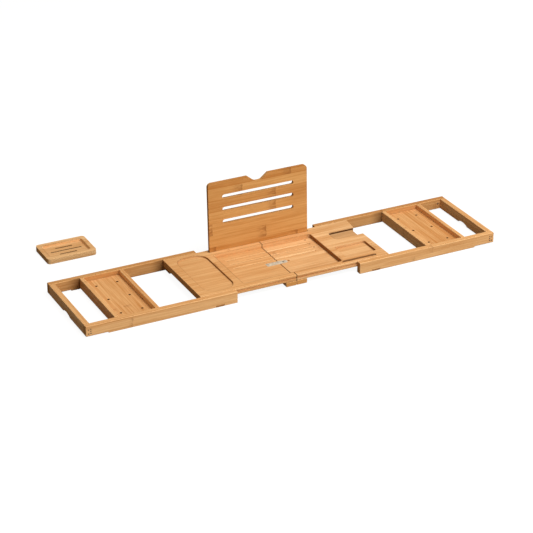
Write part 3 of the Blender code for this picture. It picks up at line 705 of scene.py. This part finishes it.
# Painted shade on the flutes' sunk floors.
FLUTE_HEIGHTS = (0.0165, 0.0172)
FLUTE_SHADE_STRENGTH = 0.12
LEVEL = 0.95
SEAM_REACH = 0.0013
SEAM_STRENGTH = 0.60


def recess_shade_lines(graph, place, recess):
    """Painted shade: the line within one recess and the line round its rim."""
    away = distance_to(graph, place, recess.low, recess.high, recess.corner)
    right = recess.high[0]
    line = graph.times(
        graph.ramp(away, -recess.width, -SKIN), graph.below(away, WALL_REACH),
        graph.between(place[2], recess.floor - SKIN, BOARD_TOP - SKIN),
        graph.ramp(place[0], right - END_FADE, right, *recess.ends),
    )
    rim = graph.times(
        graph.ramp(away, 0.0, recess.rim_width, 1.0, 0.0), graph.above(away, 0.0),
        graph.above(place[2], BOARD_TOP - ROUNDING), recess.rim_strength,
    )
    return graph.highest(line, rim)


def bay_shadow(graph, place):
    """Painted shadow in the glass bay's undercut, and painted shade on its floor."""
    away = distance_to(graph, place, GLASS_BAY.low, GLASS_BAY.high, GLASS_BAY.corner)
    undercut = graph.times(
        graph.between(away, *UNDERCUT_DEPTHS), graph.between(place[2], *UNDERCUT_HEIGHTS),
        UNDERCUT_SHADOW_STRENGTH,
    )
    floor = GLASS_BAY.floor
    shade = graph.times(
        graph.ramp(place[1], GLASS_BAY.low[1] - END_FADE, GLASS_BAY.high[1]),
        graph.below(away, 0.0), graph.between(place[2], floor - FLOOR_REACH, floor + FLOOR_REACH),
        BAY_SHADE,
    )
    return graph.highest(undercut, shade)


def board_shade_and_seam(graph, place, size):
    """Painted shade in lines, marks, the glass bay and the flutes' floors, and the dark seam."""
    masks = [recess_shade_lines(graph, place, recess) for recess in RECESSES]
    masks.append(bay_shadow(graph, place))
    for centre, radius in SHADOW_MARKS:
        mark = disc(graph, place[0], place[1], centre, radius)
        masks.append(graph.times(mark, SHADOW_MARK_STRENGTH))
    flutes = graph.times(graph.between(place[2], *FLUTE_HEIGHTS), graph.above(size[2], LEVEL))
    masks.append(graph.times(flutes, FLUTE_SHADE_STRENGTH))
    seam = graph.below(graph.absolute(place[0]), SEAM_REACH)
    masks.append(graph.times(seam, SEAM_STRENGTH))
    return graph.highest(*masks)


print("shaded on the boards:", len(RECESSES), "recesses and", len(SHADOW_MARKS), "marks")

# %% [markdown]
# ### Painted shade, shadow and bounce light on the wings and the dish
#
# The walls of the drain holes and slots get painted shade like the recesses. The rear rails get
# painted shadow where a piece meets them, darkest in the corner. Some walls that look to the left
# are painted paler than their faces, as painted bounce light. Each function returns a mask, which
# is another function that a material calls when it builds its own tree.

# %% Painted shade, shadow and bounce light on the wings and the dish
# Painted shadow on the rear rails' inner faces, left of the pieces that meet them.
SHADOW_REACH = 0.036
SHADOW_STRENGTH = 0.62
SHADOW_OVERLAP = 0.001
SHADOW_DEPTH = 0.002
# Painted bounce light on walls that look to the left.
BOUNCE_REACH = 0.0005
BOUNCE_FOOT = 0.0003
DRAIN_PLACES = ((0.025, 0.070), (0.025, 0.0))
DRAIN_RADIUS = 0.00285
DRAIN_SHADE_STRENGTH = 0.97
LONG_SLOT = (0.0382, 0.0023)
SHORT_SLOT = (0.0212, 0.0135, 0.0181)
SLOT_WALL_TURN = (0.25, 0.60)
SLOT_SHADE_STRENGTH = 0.62
DISH_RIM = 0.011
BED_CORNER = 0.007
BED_LINE = 0.0022
BED_SHADE_STRENGTH = 0.30


def corner_shadow(pieces):
    """Painted shadow on a rear rail's inner face, each fading away from a piece's left side."""
    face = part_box(pieces[0])[1][1] + SHADOW_DEPTH

    def mask(graph, place, size):
        shadow_fades = []
        for piece in pieces:
            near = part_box(piece)[0][0]
            fade = graph.ramp(place[0], near - SHADOW_REACH, near, 0.0, SHADOW_STRENGTH)
            shadow_fades.append(graph.times(fade, graph.below(place[0], near + SHADOW_OVERLAP)))
        return graph.times(graph.highest(*shadow_fades), graph.below(place[1], face))

    return mask


def bounce_lit_wall(x, floor, top, strength):
    """An upright wall across X between two heights, painted paler as painted bounce light."""

    def mask(graph, place):
        wall = graph.between(place[0], x - BOUNCE_REACH, x + BOUNCE_REACH)
        height = graph.between(place[2], floor + BOUNCE_FOOT, top - BOUNCE_REACH)
        return graph.times(wall, height, strength)

    return mask


def drain_shade(side):
    """Painted shade on the walls of the six drain holes in a shelf floor."""
    low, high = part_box(side + "_shelf_floor")
    middle = (low[0] + high[0]) / 2

    def mask(graph, place, size):
        x = graph.absolute(graph.minus(place[0], middle))
        y = graph.absolute(place[1])
        holes = [disc(graph, x, y, centre, DRAIN_RADIUS) for centre in DRAIN_PLACES]
        return graph.times(graph.highest(*holes), DRAIN_SHADE_STRENGTH)

    return mask


def dish_shade(graph, place, size):
    """Painted shade on the walls of the dish's three slots, and a line of painted shade round its
    bed.
    """
    low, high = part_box("soap_dish")
    x = graph.absolute(graph.minus(place[0], (low[0] + high[0]) / 2))
    y = graph.absolute(graph.minus(place[1], (low[1] + high[1]) / 2))
    long_slot = graph.times(graph.below(x, LONG_SLOT[0]), graph.below(y, LONG_SLOT[1]))
    short_slots = graph.times(graph.below(x, SHORT_SLOT[0]), graph.between(y, *SHORT_SLOT[1:]))
    upright = graph.ramp(size[2], *SLOT_WALL_TURN, 1.0, 0.0)
    slots = graph.times(graph.highest(long_slot, short_slots), upright, SLOT_SHADE_STRENGTH)
    bed_low = (low[0] + DISH_RIM, low[1] + DISH_RIM)
    bed_high = (high[0] - DISH_RIM, high[1] - DISH_RIM)
    away = distance_to(graph, place, bed_low, bed_high, BED_CORNER)
    rim = graph.times(
        graph.ramp(away, 0.0, BED_LINE, BED_SHADE_STRENGTH, 0.0), graph.above(away, 0.0),
        graph.above(place[2], high[2] - ROUNDING),
    )
    return graph.highest(rim, slots)


print("shaded or shadowed: drain holes, rear rails and the dish")

# %% [markdown]
# ## Which way each piece's grain runs
#
# Strength follows the fibres, so long pieces are cut along them: rails, boards, book rest and
# dish run left to right, and the end rails, shelf bars, shelf floors, slats and battens run
# front to back. Nearly every piece gets a seed of its own, as no two come from the same cane.
# The tints and strip widths come from the photograph.

# %% Boards, rails and shelves
BOARD_TINTS = {"left": (0.97, 0.965, 0.94), "right": (1.03, 1.08, 1.16)}
RAIL_TINT = (0.98, 0.985, 0.97)
SHELF_TINT = (0.99, 0.97, 0.93)
# Painted shade: the rear rails are tinted darker all over, for their inner faces, which lie in
# shade.
REAR_RAIL_SHADE_TINT = (0.78, 0.71, 0.60)
# Painted shade: the slats and stop blocks under the boards are tinted darker, as they lie in
# shade.
UNDERSIDE_SHADE_TINT = (0.66, 0.62, 0.56)
BATTEN_TINT = (1.04, 1.00, 0.88)
EDGE_HIGHLIGHT_ABOVE = 0.019
# The pieces beside which each side's rear rail gets painted shadow.
SHADOWED_BY = {
    "left": ("left_shelf_outer_bar", "left_tray_board"), "right": ("right_shelf_inner_bar",),
}
# Painted bounce light on the left-facing walls of two shelf bars.
BOUNCE_LIT_BARS = {"left_shelf_inner_bar": 2.1, "right_shelf_outer_bar": 0.7}
SHELF_BARS = (("_shelf_inner_bar", 41), ("_shelf_outer_bar", 48))

for seed, side in enumerate(("left", "right"), start=1):
    board = bamboo(side + "_board_bamboo", "X", BOARD_TINTS[side], painted_shade_and_seam=board_shade_and_seam,
                   edge_highlight_above=EDGE_HIGHLIGHT_ABOVE, seed=seed, strip_width=0.021)
    dress(board, side + "_tray_board")
    rail = bamboo(side + "_front_rail_bamboo", "X_upright", RAIL_TINT,
                  seed=seed + 5, strip_width=0.030)
    dress(rail, side + "_front_rail")
    rail = bamboo(side + "_rear_rail_bamboo", "X_upright", REAR_RAIL_SHADE_TINT,
                  painted_shade_and_seam=corner_shadow(SHADOWED_BY[side]), seed=seed + 15, strip_width=0.030)
    dress(rail, side + "_rear_rail")
    rail = bamboo(side + "_end_bamboo", "Y_upright", RAIL_TINT, seed=seed + 31, strip_width=0.030)
    dress(rail, side + "_end_rail")
    shelf_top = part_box(side + "_shelf_floor")[1][2]
    for bar, bar_seed in SHELF_BARS:
        low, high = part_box(side + bar)
        wall = bounce_lit_wall(low[0], shelf_top, high[2], BOUNCE_LIT_BARS.get(side + bar, 0.0))
        look = bamboo(side + bar + "_bamboo", "Y_upright", SHELF_TINT, bounce_light=wall,
                      seed=seed + bar_seed, strip_width=0.028)
        dress(look, side + bar)
    shelf = bamboo(side + "_shelf_bamboo", "Y", SHELF_TINT, painted_shade_and_seam=drain_shade(side),
                   seed=seed + 61, strip_width=0.018, contrast=1.2)
    dress(shelf, side + "_shelf_floor")
    slat = bamboo(side + "_slat_bamboo", "Y", UNDERSIDE_SHADE_TINT, seed=seed + 71, strip_width=0.020)
    dress(slat, side + "_cross_slat")
    batten = bamboo(side + "_batten_bamboo", "Y", BATTEN_TINT, seed=seed + 76, strip_width=0.020)
    dress(batten, side + "_seam_batten")
    blocks = bamboo(side + "_block_bamboo", "X", UNDERSIDE_SHADE_TINT, seed=seed + 81, strip_width=0.020)
    dress(blocks, side + "_front_stop_block", side + "_rear_stop_block")
    print(side, "board, wing, batten and stop blocks are bamboo")

# %% [markdown]
# ### Book rest and dish
#
# The book rest is glued from darker strips with more nodes and longer brown clouds, so it
# asks the group for other sizes. The dish is the palest piece.

# %% Book rest and dish
PANEL_TINT = (0.79, 0.72, 0.55)
DISH_TINT = (1.04, 1.12, 1.20)
# Painted bounce light on the right wall of the dish's bed.
DISH_BOUNCE_FOOT = 0.004
DISH_BOUNCE_LIGHT = 2.4

panel = bamboo("book_rest_bamboo", "X_upright", PANEL_TINT, seed=91, strip_width=0.0285,
               node_share=0.8, node_spacing=0.21, cloud_length=0.030, cloud_strength=0.62,
               contrast=0.9, tone_strength=0.5)
dress(panel, "book_rest")
low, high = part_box("soap_dish")
wall = bounce_lit_wall(high[0] - DISH_RIM, low[2] + DISH_BOUNCE_FOOT, high[2], DISH_BOUNCE_LIGHT)
dish = bamboo("soap_dish_bamboo", "X", DISH_TINT, painted_shade_and_seam=dish_shade, bounce_light=wall,
              seed=95, strip_width=0.024)
dress(dish, "soap_dish")
print("bamboo materials:", len([m for m in bpy.data.materials if m.name.endswith("bamboo")]))

# %% [markdown]
# ## Steel
#
# The locking bar is bare steel, brushed along its length. Brushing is a stretched noise again,
# this time in the roughness and the bump and hardly at all in the colour, because metal shows
# its scratches by how they scatter the lamp. The hinges have a duller steel with hardly any
# brushed direction.

# %% Brushed and plain steel
SCRATCH_SCALE = 2600
SCRATCH_DETAIL = 3.0
STAIN_SCALE = 120.0
STEEL_MIX = (0.35, 0.65)
STEEL_DARKER = 0.72
STEEL_TONES = (0.35, 0.68)
STEEL_SCRATCHES = (0.2, 0.8)
STEEL_SPREAD = (-0.07, 0.1)
STEEL_BUMP = (0.2, 0.00005)


def steel(name, colour, roughness, stretch):
    """A metal whose fine scratches run along X by the given stretch."""
    material, graph = blank_material(name)
    where = graph.object_place()
    scale = graph.node("ShaderNodeMapping")
    scale.inputs["Scale"].default_value = (SCRATCH_SCALE / stretch, SCRATCH_SCALE, SCRATCH_SCALE)
    graph.plug(where, scale.inputs["Vector"])
    scratch = graph.noise(scale.outputs[0], SCRATCH_DETAIL)
    stain = graph.noise(where, scale=STAIN_SCALE)
    tone = graph.add(graph.times(scratch, STEEL_MIX[0]), graph.times(stain, STEEL_MIX[1]))
    darker = tuple(part * STEEL_DARKER for part in colour)
    shade = graph.mix(graph.ramp(tone, *STEEL_TONES), (*colour, 1), (*darker, 1))
    low, high = (roughness + part for part in STEEL_SPREAD)
    rough = graph.ramp(scratch, *STEEL_SCRATCHES, low, high)
    shader = surface(graph, shade, rough, scratch, STEEL_BUMP)
    shader.inputs["Metallic"].default_value = 1.0
    return material


BAR_STEEL = steel("brushed_bar_steel", (0.82, 0.86, 0.76), roughness=0.52, stretch=40)
HINGE_STEEL = steel("hinge_steel", (0.60, 0.59, 0.57), roughness=0.42, stretch=2)
dress(BAR_STEEL, "locking_bar")
dress(HINGE_STEEL, "front_hinge_pin", "rear_hinge_pin")
for side in ("left", "right"):
    dress(HINGE_STEEL, side + "_front_hinge_leaf", side + "_rear_hinge_leaf")
print("steel on the bar, the leaves and the pins")

# %% [markdown]
# ## Screws and pins
#
# The same small head is needed again and again: three screws in each hinge leaf, screws along
# the battens, and the filled pins at the corners of the wings. Geometry Nodes suit this. The
# places are a mesh of loose points, and the tree puts a head on each. The head itself is made
# in the tree too: a short cylinder for a pin, and for a screw the same cylinder less two thin
# boxes, which leave the cross. Realize Instances at the end turns the copies into one plain
# mesh for each body, which can then ride on it.

# %% A tree that puts heads on points
HEAD_SIDES = 20
HEAD_INPUTS = (
    ("Radius", "NodeSocketFloat", 0.0019),
    ("Height", "NodeSocketFloat", 0.0004),
    ("Cross Length", "NodeSocketFloat", 0.0024),
    ("Cross Width", "NodeSocketFloat", 0.0005),
    ("Turn", "NodeSocketVector", (0.0, 0.0, 0.0)),
    ("Finish", "NodeSocketMaterial", None),
)
CROSS_BARS = (("Cross Length", "Cross Width"), ("Cross Width", "Cross Length"))


def cross_bar(tree, given, sides, y):
    """A thin box, half its height up, that cuts one bar of the cross."""
    link = tree.links.new
    size = add_node(tree, "ShaderNodeCombineXYZ", (-700, y))
    for axis, label in enumerate((*sides, "Height")):
        link(given[label], size.inputs[axis])
    bar = add_node(tree, "GeometryNodeMeshCube", (-500, y))
    link(size.outputs[0], bar.inputs["Size"])
    rise = add_node(tree, "ShaderNodeMath", (-700, y - 100), operation="MULTIPLY")
    rise.inputs[1].default_value = 0.5
    link(given["Height"], rise.inputs[0])
    half = add_node(tree, "ShaderNodeCombineXYZ", (-500, y - 100))
    link(rise.outputs[0], half.inputs[2])
    lift = add_node(tree, "GeometryNodeTransform", (-300, y))
    link(bar.outputs["Mesh"], lift.inputs["Geometry"])
    link(half.outputs[0], lift.inputs["Translation"])
    return lift.outputs[0]


def head_tree(name, crossed):
    """A tree that stands a head, crossed or plain, on every point it is given."""
    tree = bpy.data.node_groups.new(name, "GeometryNodeTree")
    sockets = tree.interface
    sockets.new_socket("Points", in_out="INPUT", socket_type="NodeSocketGeometry")
    for label, kind, value in HEAD_INPUTS:
        socket = sockets.new_socket(label, in_out="INPUT", socket_type=kind)
        if value is not None:
            socket.default_value = value
    sockets.new_socket("Heads", in_out="OUTPUT", socket_type="NodeSocketGeometry")
    link = tree.links.new
    given = add_node(tree, "NodeGroupInput", (-900, 0)).outputs
    head = add_node(tree, "GeometryNodeMeshCylinder", (-650, 200), fill_type="NGON")
    head.inputs["Vertices"].default_value = HEAD_SIDES
    link(given["Radius"], head.inputs["Radius"])
    link(given["Height"], head.inputs["Depth"])
    shape = head.outputs["Mesh"]
    if crossed:
        for row, sides in enumerate(CROSS_BARS):
            cut = cross_bar(tree, given, sides, -200 - 200 * row)
            carve = add_node(tree, "GeometryNodeMeshBoolean", (-100, 100 - 200 * row),
                             operation="DIFFERENCE", solver="EXACT")
            link(shape, carve.inputs["Mesh 1"])
            link(cut, carve.inputs["Mesh 2"])
            shape = carve.outputs["Mesh"]
    copies = add_node(tree, "GeometryNodeInstanceOnPoints", (150, 0))
    link(given["Points"], copies.inputs["Points"])
    link(shape, copies.inputs["Instance"])
    link(given["Turn"], copies.inputs["Rotation"])
    real = add_node(tree, "GeometryNodeRealizeInstances", (350, 0))
    link(copies.outputs[0], real.inputs[0])
    paint = add_node(tree, "GeometryNodeSetMaterial", (550, 0))
    link(real.outputs[0], paint.inputs["Geometry"])
    link(given["Finish"], paint.inputs["Material"])
    made = add_node(tree, "NodeGroupOutput", (750, 0))
    link(paint.outputs[0], made.inputs[0])
    return tree


SCREW_TREE = head_tree("screw_heads", crossed=True)
PIN_TREE = head_tree("pin_heads", crossed=False)
print("trees:", SCREW_TREE.name, "and", PIN_TREE.name)

# %% Run the tree and keep a plain mesh


def heads(name, tree, body, points, finish, **values):
    """Heads at the points, as one plain mesh that rides on a body."""
    seeds = bpy.data.meshes.new(name + "_points")
    seeds.from_pydata(points, [], [])
    holder = bpy.data.objects.new(name + "_points", seeds)
    bpy.context.scene.collection.objects.link(holder)
    nodes = holder.modifiers.new("heads", "NODES")
    nodes.node_group = tree
    values["finish"] = finish
    for item in tree.interface.items_tree:
        key = item.name.lower().replace(" ", "_")
        if item.in_out == "INPUT" and key in values:
            nodes[item.identifier] = values[key]
    bpy.context.view_layer.update()
    graph = bpy.context.evaluated_depsgraph_get()
    mesh = bpy.data.meshes.new_from_object(holder.evaluated_get(graph))
    mesh.name = name
    bpy.data.objects.remove(holder, do_unlink=True)
    piece = bpy.data.objects.new(name, mesh)
    bpy.context.scene.collection.objects.link(piece)
    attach(piece, body)
    print(name, "has", len(points), "heads and", len(mesh.polygons), "faces")


# %% [markdown]
# ### Screws from below
#
# The hinge leaves lie in the undersides of the battens, each held by three screws set in a
# triangle so that they don't split the wood along one fibre. The battens are screwed to the
# boards between the hinges, and each stop block has one screw. Every head stands a tenth of a
# millimetre proud of the piece that it holds. The places are worked out from the boxes of the
# pieces that carry them.

# %% Screws in leaves and battens
SIDES = (("left", -1), ("right", 1))
UP = (0.0, 0.0, 0.0)
DOWN = (math.pi, 0.0, 0.0)
FRONTWARD = (math.pi / 2, 0.0, 0.0)
HEAD_HEIGHT = 0.0004
PROUD = 0.00010
SUNK_IN = HEAD_HEIGHT / 2 - PROUD
LEAF_RADIUS = 0.0019
LEAF_SINK = 0.0002
LEAF_ROW = 0.0095
LEAF_PITCH = 0.0095
LEAF_STAGGER = 0.0022
LEAF_TRIANGLE = ((-1, 0.5), (0, -0.5), (1, 0.5))
BATTEN_PLACES = (-0.092, -0.034, 0.034, 0.092)
BATTEN_ROW = 0.014
LARGE_SCREW = {"radius": 0.0026, "cross_length": 0.0034, "cross_width": 0.0007}

for side, sign in SIDES:
    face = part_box(side + "_seam_batten")[0][2]
    places = []
    for end in ("front", "rear"):
        low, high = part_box(side + "_" + end + "_hinge_leaf")
        middle = (low[1] + high[1]) / 2
        for row, step in LEAF_TRIANGLE:
            x = sign * (LEAF_ROW + step * LEAF_STAGGER)
            places.append((x, middle + row * LEAF_PITCH, face + LEAF_SINK + SUNK_IN))
    heads(side + "_leaf_screws", SCREW_TREE, side + "_half", places, HINGE_STEEL,
          radius=LEAF_RADIUS, height=HEAD_HEIGHT, turn=DOWN)
    places = [(sign * BATTEN_ROW, y, face + SUNK_IN) for y in BATTEN_PLACES]
    heads(side + "_batten_screws", SCREW_TREE, side + "_half", places, HINGE_STEEL,
          height=HEAD_HEIGHT, turn=DOWN, **LARGE_SCREW)

# %% [markdown]
# ### Pins at the corners
#
# Each end rail is held between the long rails by thin pins, driven in from the front and the
# rear in two columns and closed with dark filler. They show as small dark dots at the corners
# and stand a tenth of a millimetre proud of the rail.

# %% Filled pins
SPECK_SCALE = 1800.0
SPECK_LIGHTER = 1.9
SPECK_TONES = (0.4, 0.7)
SPECK_ROUGH = (0.3, 0.7, 0.62, 0.82)


def filler_and_shadow(name, colour):
    """Dark, matt and a little uneven: the filling of pins and plug, and painted shadow in the
    dimple.
    """
    material = bpy.data.materials.new(name)
    material.use_nodes = True
    graph = Graph(material.node_tree)
    shader = material.node_tree.nodes["Principled BSDF"]
    speck = graph.noise(graph.object_place(), scale=SPECK_SCALE)
    lighter = tuple(min(1.0, part * SPECK_LIGHTER) for part in colour)
    shade = graph.mix(graph.ramp(speck, *SPECK_TONES), (*colour, 1), (*lighter, 1))
    graph.plug(shade, shader.inputs["Base Color"])
    graph.plug(graph.ramp(speck, *SPECK_ROUGH), shader.inputs["Roughness"])
    return material


FILLER = filler_and_shadow("pin_filler", (0.12, 0.055, 0.022))
PIN_RADIUS = 0.0016
PIN_INSET = 0.006
PIN_COLUMN = 0.0052
PIN_PLACES = (
    (0.0, 0.0175), (0.0, 0.0085),
    (PIN_COLUMN, 0.0190), (PIN_COLUMN, 0.0140), (PIN_COLUMN, 0.0090),
)

for side, sign in SIDES:
    low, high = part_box(side + "_front_rail")
    outer = low[0] if sign < 0 else high[0]
    front = low[1]
    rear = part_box(side + "_rear_rail")[1][1]
    places = []
    for along, z in PIN_PLACES:
        x = outer - sign * (PIN_INSET + along)
        places.append((x, front + SUNK_IN, z))
        places.append((x, rear - SUNK_IN, z))
    heads(side + "_corner_pins", PIN_TREE, side + "_wing", places, FILLER,
          radius=PIN_RADIUS, height=HEAD_HEIGHT, turn=FRONTWARD)

# %% [markdown]
# ### Rivet, dimple, plugged hole and block screws
#
# The bar turns on a rivet at its left end, whose flat head shows. Near the tip a small dimple
# is pressed for the fingertip. At this size both are told from the bar by a thin disc: bright
# steel for the rivet, and a dark one as painted shadow in the hollow. A hole inside the right
# rear rail, close to its corner, is closed with the same filler as the pins. Last come the stop
# blocks' screws.

# %% Rivet and the dimple's painted shadow on the locking bar
RIVET = {"radius": 0.0023, "height": 0.0006}
RIVET_INSET = 0.0055
RIVET_LIFT = 0.0001
DIMPLE = {"radius": 0.0022, "height": 0.0002}
DIMPLE_INSET = 0.0105
# Painted shadow: a dark disc stands for the shade in the dimple.
DIMPLE_SHADOW = filler_and_shadow("dimple_shadow", (0.085, 0.065, 0.045))

low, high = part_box("locking_bar")
middle = (low[1] + high[1]) / 2
rivet = (low[0] + RIVET_INSET, middle, high[2] + RIVET_LIFT)
heads("bar_rivet", PIN_TREE, "locking_bar", [rivet], HINGE_STEEL, turn=UP, **RIVET)
dimple = (high[0] - DIMPLE_INSET, middle, high[2])
heads("bar_dimple", PIN_TREE, "locking_bar", [dimple], DIMPLE_SHADOW, turn=UP, **DIMPLE)

# %% Plugged hole and block screws
PLUG_X = 0.4895
PLUG_HEIGHT = 0.0165
PLUG_RADIUS = 0.0027
RAIL_PLAY = 0.0003

plug = (PLUG_X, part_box("right_end_rail")[1][1] + RAIL_PLAY + SUNK_IN, PLUG_HEIGHT)
heads("rail_plug", PIN_TREE, "right_wing", [plug], FILLER,
      radius=PLUG_RADIUS, height=HEAD_HEIGHT, turn=FRONTWARD)

for side, sign in SIDES:
    places = []
    for end in ("front", "rear"):
        low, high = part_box(side + "_" + end + "_stop_block")
        places.append(((low[0] + high[0]) / 2, (low[1] + high[1]) / 2, low[2] + SUNK_IN))
    heads(side + "_block_screws", SCREW_TREE, side + "_half", places, HINGE_STEEL,
          height=HEAD_HEIGHT, turn=DOWN, **LARGE_SCREW)

# %% [markdown]
# ## Last measures
#
# The dressed caddy must fill the same space as the model that it dresses. Both boxes are
# measured, and their largest difference is printed.

# %% Compare the boxes and finish
DRESSED_BOX = [list(corner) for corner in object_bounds()]
growth = [max(abs(a - b) for a, b in zip(one, two)) for one, two in zip(CAD_BOX, DRESSED_BOX)]
print("the dressed box differs by at most", round(max(growth) * 1000, 2), "mm")
